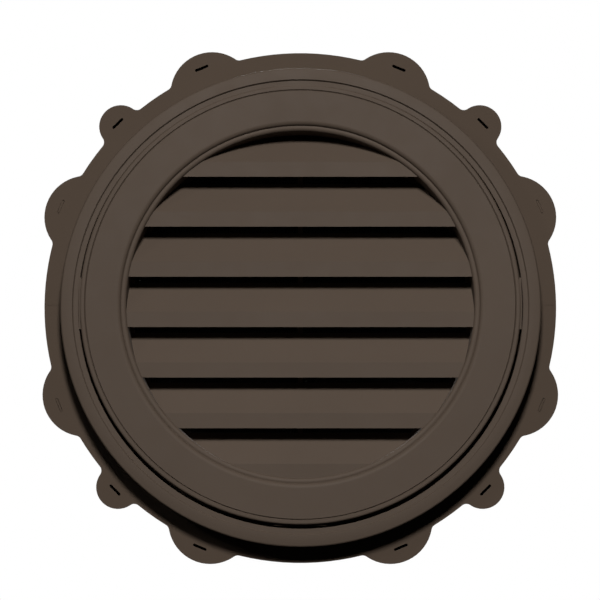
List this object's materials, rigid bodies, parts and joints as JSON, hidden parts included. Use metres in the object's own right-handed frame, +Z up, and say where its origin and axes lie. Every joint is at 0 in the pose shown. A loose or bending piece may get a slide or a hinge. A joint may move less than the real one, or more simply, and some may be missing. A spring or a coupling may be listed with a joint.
{
  "type": "round gable vent",
  "caption": "Round louvred gable vent with a nailing flange, raised casing, clip-on trim ring over a siding pocket, and an insect screen behind the slats.",
  "frame": {"origin": "centre of the vent on the wall plane, which is the back of the nailing flange", "axes": "+Y into the wall, so the front faces -Y; +Z up; +X to the right as seen from the front"},
  "size_m": [0.6024, 0.0478, 0.6024],
  "materials": {
    "base_plastic": "fine satin grain",
    "ring_plastic": "fine satin grain",
    "screen_mesh": "coated glass yarn"
  },
  "bodies": {
    "root": {"louvre_base": "base_plastic", "trim_ring": "ring_plastic", "insect_screen": "screen_mesh"}
  },
  "joints": []
}
